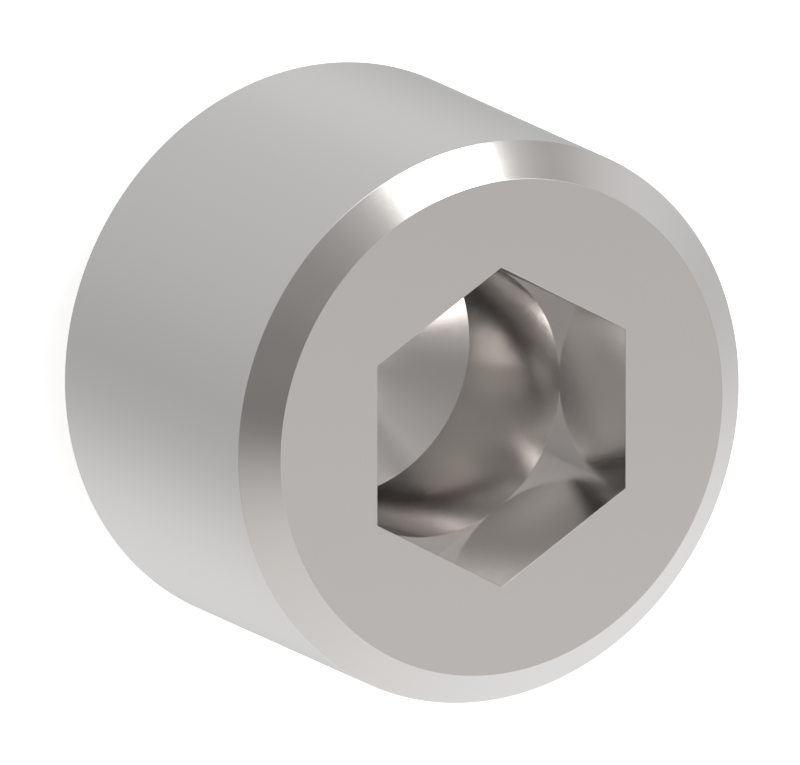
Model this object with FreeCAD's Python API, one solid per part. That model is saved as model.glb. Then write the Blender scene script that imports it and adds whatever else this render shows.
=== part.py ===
import FreeCAD
import Part

import math
import os

# Hex socket plug, in millimetres. One solid, turned from bar: a short straight cylinder, chamfered at both
# ends, with a hexagon socket broached over a blind pilot hole that ends in the drill's point.
# The plug stands on its closed end. The origin is the centre of that end, +Z runs along the axis to the
# open end, and two corners of the hexagon point along Y.

# Turned outside
BODY_DIAMETER = 16.16
BODY_LENGTH = 12.0
FACE_CHAMFER_WIDTH = 0.95
FACE_CHAMFER_LENGTH = 0.73
LEAD_CHAMFER = 1.58

# Socket for the key
HEX_ACROSS_FLATS = 8.0
HEX_DEPTH = 3.70

# Pilot hole, drilled a little over the flats so that the broach's chips shear off clean
PILOT_OVERSIZE = 0.02
POINT_ANGLE = 118.0
WEB_THICKNESS = 0.84

# Sizes that follow from those above
BODY_RADIUS = BODY_DIAMETER / 2
HEX_CORNER_RADIUS = HEX_ACROSS_FLATS / math.sqrt(3)
HEX_FLOOR_Z = BODY_LENGTH - HEX_DEPTH
PILOT_RADIUS = (HEX_ACROSS_FLATS + PILOT_OVERSIZE) / 2
POINT_LENGTH = PILOT_RADIUS / math.tan(math.radians(POINT_ANGLE / 2))
PILOT_FLOOR_Z = WEB_THICKNESS + POINT_LENGTH

AXIS = FreeCAD.Vector(0, 0, 1)
ORIGIN = FreeCAD.Vector(0, 0, 0)


def turned(profile):
    """Solid of revolution about the plug's axis, from (radius, height) corners given in order."""
    corners = [FreeCAD.Vector(radius, 0, height) for radius, height in profile]
    outline = Part.makePolygon(corners + corners[:1])
    return Part.Face(outline).revolve(ORIGIN, AXIS, 360)


def make_blank():
    """Turned cylinder with a shallow chamfer at the open end and a 45 degree lead-in at the closed one."""
    return turned([
        (0, 0),
        (BODY_RADIUS - LEAD_CHAMFER, 0),
        (BODY_RADIUS, LEAD_CHAMFER),
        (BODY_RADIUS, BODY_LENGTH - FACE_CHAMFER_LENGTH),
        (BODY_RADIUS - FACE_CHAMFER_WIDTH, BODY_LENGTH),
        (0, BODY_LENGTH),
    ])


def make_pilot_hole():
    """Space cut by the drill below the socket: a cylinder that ends in the drill's point."""
    return turned([
        (0, WEB_THICKNESS),
        (PILOT_RADIUS, PILOT_FLOOR_Z),
        (PILOT_RADIUS, HEX_FLOOR_Z),
        (0, HEX_FLOOR_Z),
    ])


def make_socket():
    """Space cut by the broach: a hexagonal prism from the open end down to its flat floor."""
    corners = []
    for index in range(6):
        angle = math.radians(90 + 60 * index)
        x = HEX_CORNER_RADIUS * math.cos(angle)
        y = HEX_CORNER_RADIUS * math.sin(angle)
        corners.append(FreeCAD.Vector(x, y, HEX_FLOOR_Z))
    outline = Part.makePolygon(corners + corners[:1])
    return Part.Face(outline).extrude(AXIS * HEX_DEPTH)


def make_plug():
    """The finished plug: the blank with the pilot hole and the socket cut out of it."""
    return make_blank().cut([make_pilot_hole(), make_socket()]).removeSplitter()


def main():
    """Writes the plug as one STEP file."""
    plug = make_plug()
    os.makedirs("parts", exist_ok=True)
    plug.exportStep("parts/plug_body.step")
    print(f"pilot hole depth at full diameter: {BODY_LENGTH - PILOT_FLOOR_Z:.3f} mm")
    print(f"valid: {plug.isValid()}, solids: {len(plug.Solids)}, volume: {plug.Volume:.2f} mm3")


main()
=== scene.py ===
"""Hex socket plug, dressed: a turned, drilled and broached steel plug on a pale studio floor."""
import logging
import math
from collections.abc import Sequence
from dataclasses import dataclass, field
from enum import Enum

import bpy
import numpy as np
from mathutils import Matrix, Vector


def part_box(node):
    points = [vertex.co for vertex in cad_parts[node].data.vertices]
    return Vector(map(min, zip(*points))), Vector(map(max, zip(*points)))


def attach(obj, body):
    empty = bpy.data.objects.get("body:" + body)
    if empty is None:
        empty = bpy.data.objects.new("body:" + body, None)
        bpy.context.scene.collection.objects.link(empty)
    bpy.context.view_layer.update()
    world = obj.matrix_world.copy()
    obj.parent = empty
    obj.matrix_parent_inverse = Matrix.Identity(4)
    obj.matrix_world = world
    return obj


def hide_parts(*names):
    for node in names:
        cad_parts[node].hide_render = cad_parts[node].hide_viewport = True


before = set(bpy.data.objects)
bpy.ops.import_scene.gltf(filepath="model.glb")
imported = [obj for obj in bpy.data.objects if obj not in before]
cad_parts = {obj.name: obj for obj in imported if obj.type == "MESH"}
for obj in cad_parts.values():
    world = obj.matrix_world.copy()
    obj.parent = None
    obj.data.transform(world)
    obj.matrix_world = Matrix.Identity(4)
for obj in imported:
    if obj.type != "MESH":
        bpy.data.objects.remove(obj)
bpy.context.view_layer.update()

LOG = logging.getLogger("hex_socket_plug")
MILLIMETRE = 0.001
MICRON = 0.000001
NODE = "plug_body"
FEED_MAP = "feed"

# Which way a surface faces in the half section, as (outward, upward).
Facing = tuple[float, float]

# What a node's input takes: another node's output, one number or a few.
NodeValue = bpy.types.NodeSocket | float | Sequence[float]


def unit_vector(azimuth: float, elevation: float) -> Vector:
    """Points from the plug to a place in the studio.

    Args:
        azimuth: the place's angle round the plug's axis, in degrees from +X towards +Y.
        elevation: its angle above the level, in degrees.

    Returns:
        The unit vector (cos e cos a, cos e sin a, sin e) for the azimuth a and the elevation e.
    """
    turn, lift = math.radians(azimuth), math.radians(elevation)
    return Vector((math.cos(lift) * math.cos(turn), math.cos(lift) * math.sin(turn), math.sin(lift)))


class Tool(Enum):
    """What cut a surface, which decides the marks on it. The value is the material's place on the piece."""

    LATHE = 0
    BROACH = 1
    DRILL = 2


@dataclass(frozen=True)
class NodeBench:
    """Adds and joins the nodes of one material or world."""

    tree: bpy.types.NodeTree

    def add(self, kind: str) -> bpy.types.Node:
        """Adds a node of this kind."""
        return self.tree.nodes.new(kind)

    def join(self, source: NodeValue, socket: bpy.types.NodeSocket) -> None:
        """Links a node's output to a socket, or sets the socket to a plain value."""
        if isinstance(source, bpy.types.NodeSocket):
            self.tree.links.new(source, socket)
        else:
            socket.default_value = source

    def scalar(self, operation: str, *values: NodeValue) -> bpy.types.NodeSocket:
        """Adds a Math node.

        Args:
            operation: the node's operation.
            values: its inputs, each a number or another node's output.

        Returns:
            The node's result.
        """
        node = self.add("ShaderNodeMath")
        node.operation = operation
        for value, socket in zip(values, node.inputs):
            self.join(value, socket)
        return node.outputs["Value"]

    def vector(self, operation: str, *values: NodeValue) -> bpy.types.Node:
        """Adds a Vector Math node.

        Args:
            operation: the node's operation.
            values: its vector inputs, each three numbers or another node's output.

        Returns:
            The node, whose result is in its Vector or its Value output.
        """
        node = self.add("ShaderNodeVectorMath")
        node.operation = operation
        for value, socket in zip(values, node.inputs):
            self.join(value, socket)
        return node


@dataclass(frozen=True)
class SteelFinish:
    """Bright stainless steel as one tool leaves it.

    The marks are fine parallel lines, narrow across the tool's feed and long the way the tool moved.
    """

    name: str
    tint: tuple[float, float, float] = (0.714, 0.70, 0.69)
    edge_tint: tuple[float, float, float] = (0.91, 0.91, 0.91)
    roughness: float = 0.16
    roughness_play: float = 0.02
    line_pitch: float = 0.05 * MILLIMETRE
    line_depth: float = 0.5 * MICRON
    line_run: float = 6.0 * MILLIMETRE
    line_detail: float = 2.0

    def material(self) -> bpy.types.Material:
        """Makes the node material.

        Returns:
            A metal whose roughness and height vary a little from line to line. The pattern's coordinate is
            the piece's feed map divided by the lines' pitch, plus the Object position divided by their run.
            Neither has a seam, so the lines have none.
        """
        material = bpy.data.materials.new(self.name)
        material.use_nodes = True
        shader = material.node_tree.nodes["Principled BSDF"]
        shader.inputs["Base Color"].default_value = (*self.tint, 1.0)
        shader.inputs["Metallic"].default_value = 1.0
        shader.inputs["Specular Tint"].default_value = (*self.edge_tint, 1.0)

        bench = NodeBench(material.node_tree)
        feed = bench.add("ShaderNodeUVMap")
        feed.uv_map = FEED_MAP
        across = bench.vector("MULTIPLY", feed.outputs["UV"], [1.0 / self.line_pitch] * 3).outputs["Vector"]
        place = bench.add("ShaderNodeTexCoord").outputs["Object"]
        both = bench.vector("MULTIPLY_ADD", place, [1.0 / self.line_run] * 3, across).outputs["Vector"]
        lines = bench.add("ShaderNodeTexNoise")
        lines.inputs["Scale"].default_value = 1.0
        lines.inputs["Detail"].default_value = self.line_detail
        bench.join(both, lines.inputs["Vector"])

        gloss = bench.add("ShaderNodeMapRange")
        gloss.inputs["To Min"].default_value = self.roughness - self.roughness_play
        gloss.inputs["To Max"].default_value = self.roughness + self.roughness_play
        bench.join(lines.outputs["Fac"], gloss.inputs["Value"])
        bench.join(gloss.outputs["Result"], shader.inputs["Roughness"])
        relief = bench.add("ShaderNodeBump")
        relief.inputs["Distance"].default_value = self.line_depth
        bench.join(lines.outputs["Fac"], relief.inputs["Height"])
        bench.join(relief.outputs["Normal"], shader.inputs["Normal"])
        return material


@dataclass(frozen=True)
class Ring:
    """One closed line of the plug's surface, at a distance from the axis and a height.

    A round ring is a circle. A six-sided one is a hexagon, and its distance is from the axis to a flat.
    """

    distance: float
    height: float
    six_sided: bool = False


@dataclass(frozen=True)
class Strip:
    """The surface from one ring to the next: which way it faces at both rings, and what cut it."""

    start: Facing
    end: Facing
    tool: Tool
    six_sided: bool = False
    level: bool = False


@dataclass
class Outline:
    """Half section of the plug, from the middle of the closed end round to the drill's point."""

    rings: list[Ring] = field(default_factory=list)
    strips: list[Strip] = field(default_factory=list)

    def line_to(
        self, distance: float, height: float, tool: Tool, six_sided: bool = False, level: bool = False
    ) -> None:
        """Adds a straight stretch to a new ring.

        A stretch that runs in the direction (a, b) faces (b, -a).

        Args:
            distance: the new ring's distance from the axis.
            height: the new ring's height.
            tool: what cut the stretch.
            six_sided: True if the new ring is a hexagon.
            level: True if the stretch is flat and level, whatever the shapes of its two rings.
        """
        last = self.rings[-1]
        run, rise = distance - last.distance, height - last.height
        length = math.hypot(run, rise)
        facing = (rise / length, -run / length)
        self.rings.append(Ring(distance, height, six_sided))
        self.strips.append(Strip(facing, facing, tool, six_sided and not level, level))

    def round_to(self, facing: Facing, radius: float, tool: Tool, steps: int = 4) -> None:
        """Rounds an outside edge by an arc that carries on from the last stretch.

        Each new ring lies at the arc's centre plus the radius times the way the surface faces there.

        Args:
            facing: which way the surface faces after the arc.
            radius: the arc's radius.
            tool: what cut the edge.
            steps: the number of strips in the arc.
        """
        last, before = self.rings[-1], self.strips[-1].end
        first_angle = math.atan2(before[1], before[0])
        turned = (math.atan2(facing[1], facing[0]) - first_angle + math.pi) % (2 * math.pi) - math.pi
        centre = (last.distance - radius * before[0], last.height - radius * before[1])
        for step in range(1, steps + 1):
            angle = first_angle + turned * step / steps
            after = (math.cos(angle), math.sin(angle))
            distance = centre[0] + radius * after[0]
            height = centre[1] + radius * after[1]
            self.rings.append(Ring(distance, height, last.six_sided))
            self.strips.append(Strip(before, after, tool, last.six_sided))
            before = after


@dataclass(frozen=True)
class SweptSurface:
    """The half section swept round the axis, as arrays.

    The points are by ring and column, the corners' normals and feed by strip, column and corner, and the
    tools by quad.
    """

    points: np.ndarray
    normals: np.ndarray
    feed: np.ndarray
    tools: np.ndarray


@dataclass(frozen=True)
class PlugBody:
    """The plug's whole surface, outside and in, as one closed mesh.

    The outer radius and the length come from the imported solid. The rest are the plug's own sizes.
    """

    radius: float
    length: float
    face_chamfer_width: float = 0.95 * MILLIMETRE
    face_chamfer_length: float = 0.73 * MILLIMETRE
    lead_chamfer: float = 1.58 * MILLIMETRE
    across_flats: float = 8.0 * MILLIMETRE
    socket_depth: float = 3.70 * MILLIMETRE
    pilot_radius: float = 4.01 * MILLIMETRE
    point_angle: float = math.radians(118.0)
    web: float = 0.84 * MILLIMETRE
    edge_break: float = 0.02 * MILLIMETRE
    columns: int = 384

    def setback(self, before: Facing, after: Facing) -> float:
        """Works out where the rounding of an edge starts.

        Args:
            before: which way the surface faces before the edge.
            after: which way it faces after the edge.

        Returns:
            The distance from the sharp edge back to either end of its arc, which is the arc's radius times
            the tangent of half the turn.
        """
        turn = math.acos(before[0] * after[0] + before[1] * after[1])
        return self.edge_break * math.tan(turn / 2)

    def outline(self) -> Outline:
        """Works out the half section.

        Returns:
            The closed end, the lead-in, the side, the chamfer, the open face, a flat of the hexagon, its
            floor, the drilled hole and the drill's point. Each outside edge has the small break that a lathe
            hand gives it. The stretch before an edge ends one setback short of the sharp edge.
        """
        lathe, broach, drill = Tool.LATHE, Tool.BROACH, Tool.DRILL
        down, out, up, inward = (0.0, -1.0), (1.0, 0.0), (0.0, 1.0), (-1.0, 0.0)
        lead = (math.sqrt(0.5), -math.sqrt(0.5))
        slant = math.hypot(self.face_chamfer_width, self.face_chamfer_length)
        chamfer = (self.face_chamfer_length / slant, self.face_chamfer_width / slant)
        top = self.length
        flat = self.across_flats / 2
        floor = top - self.socket_depth
        drill_rim = self.web + self.pilot_radius / math.tan(self.point_angle / 2)
        rim = self.radius - self.face_chamfer_width

        section = Outline([Ring(0.0, 0.0)])
        section.line_to(self.radius - self.lead_chamfer - self.setback(down, lead), 0.0, lathe, level=True)
        section.round_to(lead, self.edge_break, lathe)
        back = self.setback(lead, out)
        section.line_to(self.radius + back * lead[1], self.lead_chamfer - back * lead[0], lathe)
        section.round_to(out, self.edge_break, lathe)
        section.line_to(self.radius, top - self.face_chamfer_length - self.setback(out, chamfer), lathe)
        section.round_to(chamfer, self.edge_break, lathe)
        back = self.setback(chamfer, up)
        section.line_to(rim + back * chamfer[1], top - back * chamfer[0], lathe)
        section.round_to(up, self.edge_break, lathe)
        section.line_to(flat + self.setback(up, inward), top, lathe, six_sided=True, level=True)
        section.round_to(inward, self.edge_break, broach)
        section.line_to(flat, floor, broach, six_sided=True)
        section.line_to(self.pilot_radius, floor, broach, level=True)
        section.line_to(self.pilot_radius, drill_rim, drill)
        section.line_to(0.0, self.web, drill)
        return section

    def corner_normals(
        self, section: Outline, reach: np.ndarray, angle: np.ndarray, flat_way: np.ndarray
    ) -> np.ndarray:
        """Works out which way the surface faces at each corner of each quad.

        That is the strip's facing, swung to the corner's own angle on a round strip and to the flat's angle
        on a six-sided one. A level strip that narrows along the half section faces up, and one that widens
        faces down.

        Args:
            section: the half section.
            reach: each point's distance from the axis, by ring and column.
            angle: each column's angle.
            flat_way: the angle of the flat nearest to each column of quads.

        Returns:
            Unit vectors by strip, column and corner.
        """
        six = np.array([strip.six_sided for strip in section.strips])[:, None]
        level = np.array([strip.level for strip in section.strips])[:, None]
        start = np.array([strip.start for strip in section.strips])
        end = np.array([strip.end for strip in section.strips])
        narrowing = np.sign(reach[:-1, :-1] + reach[:-1, 1:] - reach[1:, :-1] - reach[1:, 1:])
        left = np.where(six, flat_way, angle[:-1])
        right = np.where(six, flat_way, angle[1:])
        normals = []
        for facing, way in ((start, left), (start, right), (end, right), (end, left)):
            outward = facing[:, 0:1]
            upward = np.where(level, narrowing, facing[:, 1:2])
            normals.append(np.stack([outward * np.cos(way), outward * np.sin(way), upward], axis=2))
        return np.stack(normals, axis=2)

    def corner_feed(
        self, section: Outline, reach: np.ndarray, angle: np.ndarray, flat_way: np.ndarray
    ) -> np.ndarray:
        """Works out how far each corner of each quad lies across the tool's marks.

        That is the distance from the axis on a level strip, the distance along the flat on a six-sided one,
        and the distance travelled along the half section elsewhere.

        Args:
            section: the half section.
            reach: each point's distance from the axis, by ring and column.
            angle: each column's angle.
            flat_way: the angle of the flat nearest to each column of quads.

        Returns:
            Distances by strip, column and corner.
        """
        six = np.array([strip.six_sided for strip in section.strips])[:, None, None]
        level = np.array([strip.level for strip in section.strips])[:, None, None]
        run = np.diff([ring.distance for ring in section.rings])
        rise = np.diff([ring.height for ring in section.rings])
        travel = np.concatenate([[0.0], np.cumsum(np.hypot(run, rise))])[:, None]
        travelled = np.stack([travel[:-1], travel[:-1], travel[1:], travel[1:]], axis=2)
        outward = np.stack([reach[:-1, :-1], reach[:-1, 1:], reach[1:, 1:], reach[1:, :-1]], axis=2)
        corner_angle = np.stack([angle[:-1], angle[1:], angle[1:], angle[:-1]], axis=1)
        along = np.tan(corner_angle - flat_way[:, None]) * self.across_flats / 2
        return np.where(six, along[None], np.where(level, outward, travelled))

    def sweep(self, section: Outline) -> SweptSurface:
        """Sweeps the half section round the axis.

        A round ring's point at distance d and angle a is (d cos a, d sin a). On a six-sided ring d is divided
        by the cosine of the angle from the middle of the nearest flat.

        Args:
            section: the half section.

        Returns:
            The swept surface. Its last column lies on its first.
        """
        sixth = math.pi / 3
        angle = np.arange(self.columns + 1) * (2 * math.pi / self.columns)
        off_flat = (angle + sixth / 2) % sixth - sixth / 2
        flat_way = np.round((angle[:-1] + math.pi / self.columns) / sixth) * sixth
        distance = np.array([ring.distance for ring in section.rings])[:, None]
        six = np.array([ring.six_sided for ring in section.rings])[:, None]
        reach = np.where(six, distance / np.cos(off_flat), distance)
        height = np.broadcast_to(np.array([ring.height for ring in section.rings])[:, None], reach.shape)
        return SweptSurface(
            points=np.stack([reach * np.cos(angle), reach * np.sin(angle), height], axis=2),
            normals=self.corner_normals(section, reach, angle, flat_way),
            feed=self.corner_feed(section, reach, angle, flat_way),
            tools=np.repeat([strip.tool.value for strip in section.strips], self.columns),
        )

    def quads(self, rings: int) -> np.ndarray:
        """Numbers the corners of the quads between the rings.

        The first and the last ring are single points, and the last column is the first again.

        Args:
            rings: the number of rings.

        Returns:
            Vertex numbers by strip, column and corner.
        """
        between = (rings - 2) * self.columns
        index = np.zeros((rings, self.columns + 1), dtype=np.int64)
        index[1:-1, :-1] = 1 + np.arange(between).reshape(rings - 2, self.columns)
        index[1:-1, -1] = index[1:-1, 0]
        index[-1] = 1 + between
        return np.stack([index[:-1, :-1], index[:-1, 1:], index[1:, 1:], index[1:, :-1]], axis=2)

    def mesh(self) -> bpy.types.Mesh:
        """Builds the closed mesh.

        Returns:
            The mesh, with its normals and its feed map. The quads of the first and the last strip lose the
            corner that repeats their single point, and become triangles.
        """
        surface = self.sweep(self.outline())
        points = surface.points
        vertices = np.concatenate([points[:1, 0], points[1:-1, :-1].reshape(-1, 3), points[-1:, 0]])
        quads = self.quads(len(points))
        keep = np.ones(quads.shape, dtype=bool)
        keep[0, :, 1] = False
        keep[-1, :, 3] = False
        sizes = keep.sum(axis=2).ravel()
        starts = np.cumsum(sizes) - sizes
        across = surface.feed[keep]
        feed_map = np.stack([across, np.zeros_like(across)], axis=1)

        mesh = bpy.data.meshes.new("plug_body_surface")
        mesh.vertices.add(len(vertices))
        mesh.vertices.foreach_set("co", vertices.astype(np.float32).ravel())
        mesh.loops.add(int(sizes.sum()))
        mesh.loops.foreach_set("vertex_index", quads[keep].astype(np.int32))
        mesh.polygons.add(len(sizes))
        mesh.polygons.foreach_set("loop_start", starts.astype(np.int32))
        mesh.polygons.foreach_set("material_index", surface.tools.astype(np.int32))
        mesh.polygons.foreach_set("use_smooth", np.ones(len(sizes), dtype=bool))
        mesh.uv_layers.new(name=FEED_MAP).data.foreach_set("uv", feed_map.astype(np.float32).ravel())
        mesh.update(calc_edges=True)
        mesh.validate()
        mesh.normals_split_custom_set(surface.normals[keep].tolist())
        return mesh

    def build(self) -> bpy.types.Object:
        """Makes the piece at the origin."""
        piece = bpy.data.objects.new("plug", self.mesh())
        bpy.context.scene.collection.objects.link(piece)
        return piece

    def dress(self, piece: bpy.types.Object) -> None:
        """Gives each tool's surfaces their finish.

        Args:
            piece: the object made by build.
        """
        finishes = {
            Tool.LATHE: SteelFinish("turned_steel"),
            Tool.BROACH: SteelFinish(
                "broached_steel", line_pitch=0.08 * MILLIMETRE, line_depth=0.2 * MICRON
            ),
            Tool.DRILL: SteelFinish("drilled_steel", line_pitch=0.10 * MILLIMETRE),
        }
        for tool in Tool:
            piece.data.materials.append(finishes[tool].material())


@dataclass(frozen=True)
class SoftPanel:
    """One soft light or dark card of the studio, drawn as a round glow in the surroundings.

    Its light is the strength times e to the power of (the cosine of the angle from its middle, less 1) over
    (1 less the cosine of its spread). A dark card has a negative strength. Angles are in degrees.
    """

    name: str
    azimuth: float
    elevation: float
    spread: float
    strength: float

    def direction(self) -> Vector:
        """Unit vector from the plug to the panel's middle."""
        return unit_vector(self.azimuth, self.elevation)

    def sharpness(self) -> float:
        """What the cosine's fall is multiplied by."""
        return 1.0 / (1.0 - math.cos(math.radians(self.spread)))


@dataclass(frozen=True)
class SoftLamp:
    """A rectangular lamp that faces the plug.

    Angles are in degrees, and the two half widths are as seen from the plug. The roll turns the lamp about
    the line to the plug.
    """

    name: str
    azimuth: float
    elevation: float
    roll: float
    half_width: float
    half_height: float
    radiance: float
    distance: float
    colour: tuple[float, float, float] = (1.0, 0.97, 0.945)

    def build(self, centre: Vector) -> bpy.types.Object:
        """Hangs the lamp.

        Args:
            centre: the point that the lamp faces.

        Returns:
            The lamp. Its power is the radiance times pi times its area.
        """
        toward = unit_vector(self.azimuth, self.elevation)
        level = unit_vector(self.azimuth + 90.0, 0.0)
        roll = math.radians(self.roll)
        side = math.cos(roll) * level + math.sin(roll) * toward.cross(level)
        data = bpy.data.lights.new(self.name, type="AREA")
        data.shape = "RECTANGLE"
        data.size = 2 * self.distance * math.tan(math.radians(self.half_width))
        data.size_y = 2 * self.distance * math.tan(math.radians(self.half_height))
        data.energy = self.radiance * math.pi * data.size * data.size_y
        data.color = self.colour
        lamp = bpy.data.objects.new(self.name, data)
        turned = Matrix((side, toward.cross(side), toward)).transposed().to_4x4()
        lamp.matrix_world = Matrix.Translation(centre + self.distance * toward) @ turned
        bpy.context.scene.collection.objects.link(lamp)
        return lamp


@dataclass(frozen=True)
class Surroundings:
    """Everything round the plug that isn't the floor or a lamp: a dim grey level with soft panels on it.

    The two bulbs shine through the softbox lamp. The upper half is a little warm and the lower half neutral.
    """

    level: float = 0.062
    upper_tint: tuple[float, float, float] = (1.033, 1.0, 0.976)
    warm_from_height: float = 0.5
    darkest: float = 0.02
    panels: tuple[SoftPanel, ...] = (
        SoftPanel("upper bulb of the softbox", 60.5, 43.0, 5.5, 12.9),
        SoftPanel("lower bulb of the softbox", 70.5, 33.0, 5.0, 18.8),
        SoftPanel("low strip", 90.5, 3.5, 26.5, 2.68),
        SoftPanel("side strip", 141.5, 32.5, 8.0, 0.65),
        SoftPanel("strip over the right", 10.0, 58.5, 13.5, 0.96),
        SoftPanel("ceiling spot", 93.0, 65.0, 5.0, 1.67),
        SoftPanel("ceiling glow", 114.0, 68.0, 20.0, 0.31),
        SoftPanel("far ceiling glow", -128.0, 45.0, 34.0, 0.50),
        SoftPanel("front fill", -77.5, 54.5, 18.0, 0.61),
        SoftPanel("top fill", -32.5, 68.0, 9.0, 0.60),
        SoftPanel("front glow", -33.5, 12.5, 26.0, 0.95),
        SoftPanel("right reflector", 21.5, 7.5, 28.0, 0.50),
        SoftPanel("lower right glow", -29.0, -35.0, 22.0, 0.49),
        SoftPanel("lower left glow", -92.0, -12.5, 42.0, 0.91),
        SoftPanel("table glow", 61.0, -84.5, 78.0, 0.69),
        SoftPanel("low back glow", 45.0, -45.5, 18.5, 0.17),
        SoftPanel("left card", 190.5, 49.5, 10.0, -0.17),
        SoftPanel("low left card", 200.0, -71.0, 15.5, -0.29),
        SoftPanel("low right card", -22.0, -57.0, 15.0, -0.31),
        SoftPanel("small right card", 42.0, 18.0, 7.0, -0.11),
    )

    def build(self) -> bpy.types.World:
        """Makes the world. The camera itself sees plain white in place of the panels.

        Returns:
            The scene's world. Its tint goes from none at the horizon to the whole upper tint where the
            upward part of the direction is warm_from_height.
        """
        world = bpy.data.worlds.new("studio")
        bpy.context.scene.world = world
        world.use_nodes = True
        bench = NodeBench(world.node_tree)
        background = world.node_tree.nodes["Background"]
        direction = bench.add("ShaderNodeTexCoord").outputs["Generated"]
        light = self.level
        for panel in self.panels:
            facing = bench.vector("DOT_PRODUCT", direction, panel.direction()).outputs["Value"]
            fall = bench.scalar("MULTIPLY", bench.scalar("SUBTRACT", facing, 1.0), panel.sharpness())
            light = bench.scalar("MULTIPLY_ADD", bench.scalar("EXPONENT", fall), panel.strength, light)
        light = bench.scalar("MAXIMUM", light, self.darkest)

        upward = bench.add("ShaderNodeSeparateXYZ")
        bench.join(direction, upward.inputs["Vector"])
        warmth = bench.scalar("DIVIDE", upward.outputs["Z"], self.warm_from_height)
        warmth.node.use_clamp = True
        white = Vector((1.0, 1.0, 1.0))
        warming = Vector(self.upper_tint) - white
        tint = bench.vector("MULTIPLY_ADD", warmth, warming, white).outputs["Vector"]
        seen = bench.add("ShaderNodeMix")
        seen.data_type = "RGBA"
        bench.join(bench.add("ShaderNodeLightPath").outputs["Is Camera Ray"], seen.inputs["Factor"])
        bench.join(bench.vector("MULTIPLY", light, tint).outputs["Vector"], seen.inputs["A"])
        seen.inputs["B"].default_value = (*white, 1.0)
        bench.join(seen.outputs["Result"], background.inputs["Color"])
        return world


@dataclass(frozen=True)
class PaleFloor:
    """White matt floor that carries the plug and its shadow."""

    half_width: float = 2.0
    gap: float = 10 * MICRON
    colour: tuple[float, float, float] = (0.8, 0.8, 0.8)
    lift: float = 0.65

    def material(self) -> bpy.types.Material:
        """Makes the floor's finish.

        Returns:
            A matt white. A camera ray adds plain white on top, up to pure white where nothing shades the
            floor. A glossy ray passes on to the surroundings. The underside is clear, so that the closed end
            can be seen.
        """
        material = bpy.data.materials.new("floor_white")
        material.use_nodes = True
        bench = NodeBench(material.node_tree)
        nodes = material.node_tree.nodes
        nodes.remove(nodes["Principled BSDF"])
        matt = bench.add("ShaderNodeBsdfDiffuse")
        matt.inputs["Color"].default_value = (*self.colour, 1.0)
        path = bench.add("ShaderNodeLightPath")
        lift = bench.scalar("MULTIPLY", path.outputs["Is Camera Ray"], self.lift)
        white = bench.add("ShaderNodeEmission")
        bench.join(lift, white.inputs["Strength"])
        lit = bench.add("ShaderNodeAddShader")
        bench.join(matt.outputs["BSDF"], lit.inputs[0])
        bench.join(white.outputs["Emission"], lit.inputs[1])
        below = bench.add("ShaderNodeNewGeometry").outputs["Backfacing"]
        passing = bench.scalar("MAXIMUM", path.outputs["Is Glossy Ray"], below)
        floor = bench.add("ShaderNodeMixShader")
        bench.join(passing, floor.inputs["Fac"])
        bench.join(lit.outputs["Shader"], floor.inputs[1])
        bench.join(bench.add("ShaderNodeBsdfTransparent").outputs["BSDF"], floor.inputs[2])
        bench.join(floor.outputs["Shader"], nodes["Material Output"].inputs["Surface"])
        return material

    def build(self) -> bpy.types.Object:
        """Lays the floor a hair under the plug."""
        half = self.half_width
        mesh = bpy.data.meshes.new("floor")
        corners = [(-half, -half), (half, -half), (half, half), (-half, half)]
        mesh.from_pydata([(x, y, -self.gap) for x, y in corners], [], [(0, 1, 2, 3)])
        mesh.materials.append(self.material())
        floor = bpy.data.objects.new("floor", mesh)
        bpy.context.scene.collection.objects.link(floor)
        return floor


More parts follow.
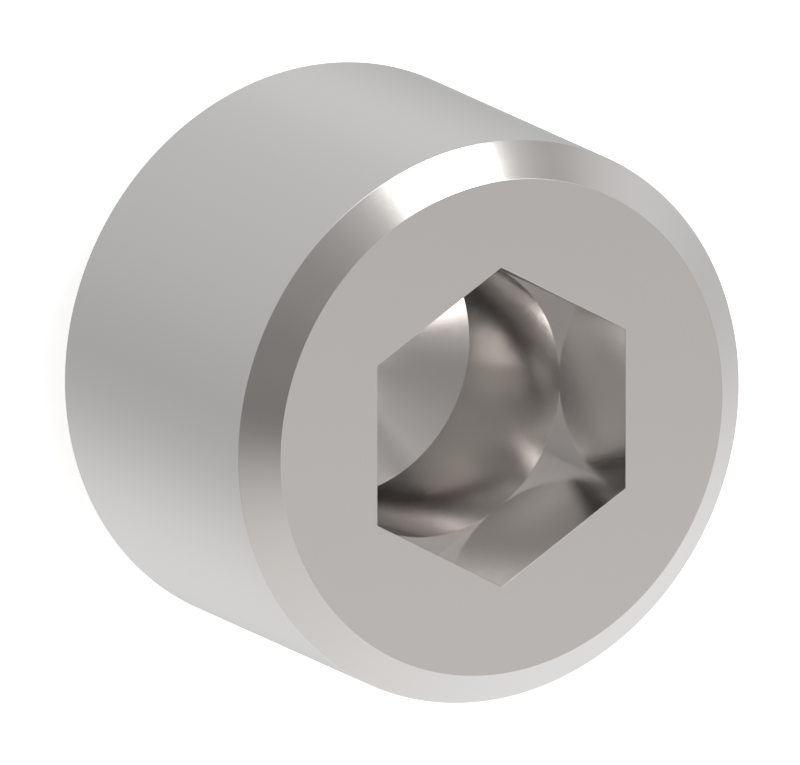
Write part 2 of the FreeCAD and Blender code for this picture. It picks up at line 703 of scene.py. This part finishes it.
@dataclass(frozen=True)
class PhotoCamera:
    """A flat-projection camera that stands as the photograph's did.

    The picture's upright frame has the plug's axis pointing at the viewer and the plug's +Y pointing up. In
    it, the camera is turned about the upright line and then lifted. Pixels are the photograph's, from its top
    left corner.
    """

    turn: float = math.radians(30.0)
    lift: float = math.radians(15.0)
    frame_pixels: tuple[float, float] = (800.0, 765.0)
    face_centre_pixel: tuple[float, float] = (501.6, 427.3)
    across_flats_pixels: float = 286.2
    distance: float = 0.2
    clip_start: float = 0.01
    clip_end: float = 10.0

    def build(self, face_centre: Vector, across_flats: float) -> bpy.types.Object:
        """Places the camera.

        Args:
            face_centre: the middle of the plug's open end, which lands on face_centre_pixel.
            across_flats: the socket's size, which across_flats_pixels show.

        Returns:
            The scene's camera.
        """
        toward = Vector((
            -math.sin(self.turn) * math.cos(self.lift),
            math.sin(self.lift),
            math.cos(self.turn) * math.cos(self.lift),
        ))
        right = Vector((math.cos(self.turn), 0.0, math.sin(self.turn)))
        up = toward.cross(right)
        pixel = across_flats / self.across_flats_pixels
        aside = self.face_centre_pixel[0] - self.frame_pixels[0] / 2
        below = self.face_centre_pixel[1] - self.frame_pixels[1] / 2
        aim = face_centre - pixel * (aside * right - below * up)
        data = bpy.data.cameras.new("camera")
        data.type = "ORTHO"
        data.ortho_scale = self.frame_pixels[0] * pixel
        data.clip_start = self.clip_start
        data.clip_end = self.clip_end
        camera = bpy.data.objects.new("camera", data)
        facing = Matrix((right, up, toward)).transposed().to_4x4()
        camera.matrix_world = Matrix.Translation(aim + self.distance * toward) @ facing
        bpy.context.scene.collection.objects.link(camera)
        bpy.context.scene.camera = camera
        return camera


@dataclass(frozen=True)
class Studio:
    """The camera, the floor and the light, round a plug of the given size.

    The front lamp is weak and near. One of its edges lies where the open face looks, so the face gets a
    little lighter towards its lower side, as in the photograph. The socket's mirror images need more
    reflections than Blender's usual four.
    """

    length: float
    across_flats: float
    mirror_bounces: int = 5
    lamps: tuple[SoftLamp, ...] = (
        SoftLamp("softbox", 59.0, 43.0, -19.0, 21.6, 14.5, radiance=2.1, distance=0.6),
        SoftLamp("front_lamp", -59.0, 41.5, 48.0, 25.0, 20.0, radiance=0.115, distance=0.22),
    )

    def build(self) -> None:
        """Sets up the whole studio."""
        face_centre = Vector((0.0, 0.0, self.length))
        PhotoCamera().build(face_centre, self.across_flats)
        Surroundings().build()
        for lamp in self.lamps:
            lamp.build(face_centre)
        PaleFloor().build()
        scene = bpy.context.scene
        scene.cycles.glossy_bounces = self.mirror_bounces
        scene.view_settings.view_transform = "Standard"


def main() -> None:
    """Builds the plug and its studio."""
    logging.basicConfig(level=logging.INFO, format="%(name)s: %(message)s")
    solid_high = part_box(NODE)[1]
    body = PlugBody(radius=solid_high.x, length=solid_high.z)
    piece = body.build()
    body.dress(piece)
    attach(piece, "root")
    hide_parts(NODE)
    LOG.info("%s: %d faces on body root, in place of %s", piece.name, len(piece.data.polygons), NODE)
    Studio(body.length, body.across_flats).build()
    LOG.info("studio: floor, surroundings, lamps and camera")


if __name__ == "__main__":
    main()
